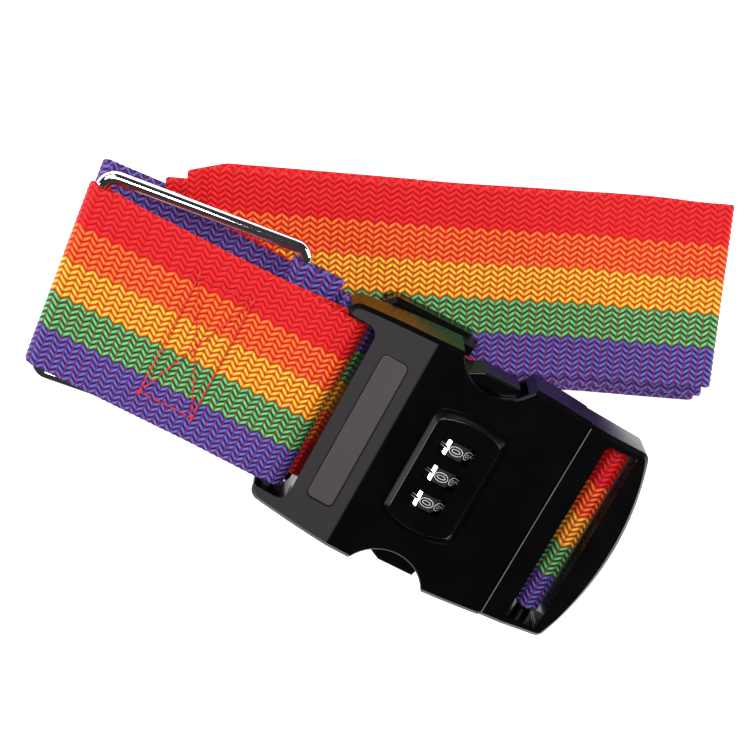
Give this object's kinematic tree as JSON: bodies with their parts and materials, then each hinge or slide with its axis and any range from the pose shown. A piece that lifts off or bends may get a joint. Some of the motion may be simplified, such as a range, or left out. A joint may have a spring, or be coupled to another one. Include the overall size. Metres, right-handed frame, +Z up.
{
  "type": "luggage strap",
  "caption": "Folded rainbow webbing luggage strap with a black side-release buckle, dial lock, tail slide and chrome ring",
  "frame": {"origin": "middle of the whole folded strap's footprint, on the surface it lies on", "axes": "+X along the buckle from its receptacle's webbing bar to the plug, +Y across the webbing, +Z up off the surface"},
  "size_m": [0.1726, 0.126, 0.0378],
  "materials": {
    "buckle_plastic": "glossy black moulded acetal, fine grain on the sloped end",
    "slide_plastic": "glossy black moulded plastic",
    "plate_plastic": "blank satin inlay",
    "inner_plastic": "plain moulded",
    "wheel_plastic": "bright plated facets, black digits with bright rims",
    "steel": "plain bright steel",
    "ring_chrome": "polished nickel-chrome plate",
    "rainbow_webbing": "herringbone polypropylene webbing in five lengthwise stripes",
    "thread": "red polyester sewing thread"
  },
  "bodies": {
    "bundle": {"receptacle_shell": "buckle_plastic", "receptacle_back_cover": "buckle_plastic", "cover_screws": "steel", "name_plate": "plate_plastic", "dial_axle": "steel", "detent_spring": "steel", "locking_bar_springs": "steel", "reset_spring": "steel", "folded_pile": "rainbow_webbing", "cross_run": "rainbow_webbing", "return_run": "rainbow_webbing"},
    "plug": {"plug_body": "buckle_plastic", "plug_strap": "rainbow_webbing"},
    "left_prong": {"left_prong": "buckle_plastic"},
    "right_prong": {"right_prong": "buckle_plastic"},
    "dial_1": {"number_wheel_1": "wheel_plastic", "code_cam_1": "inner_plastic"},
    "dial_2": {"number_wheel_2": "wheel_plastic", "code_cam_2": "inner_plastic"},
    "dial_3": {"number_wheel_3": "wheel_plastic", "code_cam_3": "inner_plastic"},
    "lock_bar": {"locking_bar": "inner_plastic"},
    "reset": {"reset_button": "inner_plastic"},
    "slide": {"tri_glide": "slide_plastic"},
    "link": {"link_strap": "rainbow_webbing", "link_stitching": "thread", "square_ring": "ring_chrome", "ring_end_loop": "rainbow_webbing"}
  },
  "joints": [
    {"name": "plug_slide", "type": "slide", "parent": "bundle", "child": "plug", "axis": [1, 0, 0], "range_m": [0, 0.04]},
    {"name": "left_prong_flex", "type": "hinge", "parent": "plug", "child": "left_prong", "pos_m": [0.0541, -0.0048, 0.0286], "axis": [0, 0, 1], "range_deg": [0, 6], "stiffness_Nm_per_rad": 0.5},
    {"name": "right_prong_flex", "type": "hinge", "parent": "plug", "child": "right_prong", "pos_m": [0.0541, -0.0568, 0.0286], "axis": [0, 0, -1], "range_deg": [0, 6], "stiffness_Nm_per_rad": 0.5},
    {"name": "dial_1_turn", "type": "hinge", "parent": "bundle", "child": "dial_1", "pos_m": [0.029, -0.0388, 0.0308], "axis": [0, 1, 0], "continuous": true},
    {"name": "dial_2_turn", "type": "hinge", "parent": "bundle", "child": "dial_2", "pos_m": [0.029, -0.0308, 0.0308], "axis": [0, 1, 0], "continuous": true},
    {"name": "dial_3_turn", "type": "hinge", "parent": "bundle", "child": "dial_3", "pos_m": [0.029, -0.0228, 0.0308], "axis": [0, 1, 0], "continuous": true},
    {"name": "lock_bar_slide", "type": "slide", "parent": "bundle", "child": "lock_bar", "axis": [-1, 0, 0], "range_m": [0, 0.0007], "stiffness_N_per_m": 150},
    {"name": "reset_press", "type": "slide", "parent": "bundle", "child": "reset", "axis": [0, 0, 1], "range_m": [0, 0.001], "stiffness_N_per_m": 200},
    {"name": "slide_along_strap", "type": "slide", "parent": "bundle", "child": "slide", "axis": [1, 0, 0], "range_m": [-0.012, 0.007]},
    {"name": "link_lift", "type": "hinge", "parent": "bundle", "child": "link", "pos_m": [-0.009, -0.0308, 0.0259], "axis": [0, 1, 0], "range_deg": [0, 25]}
  ]
}
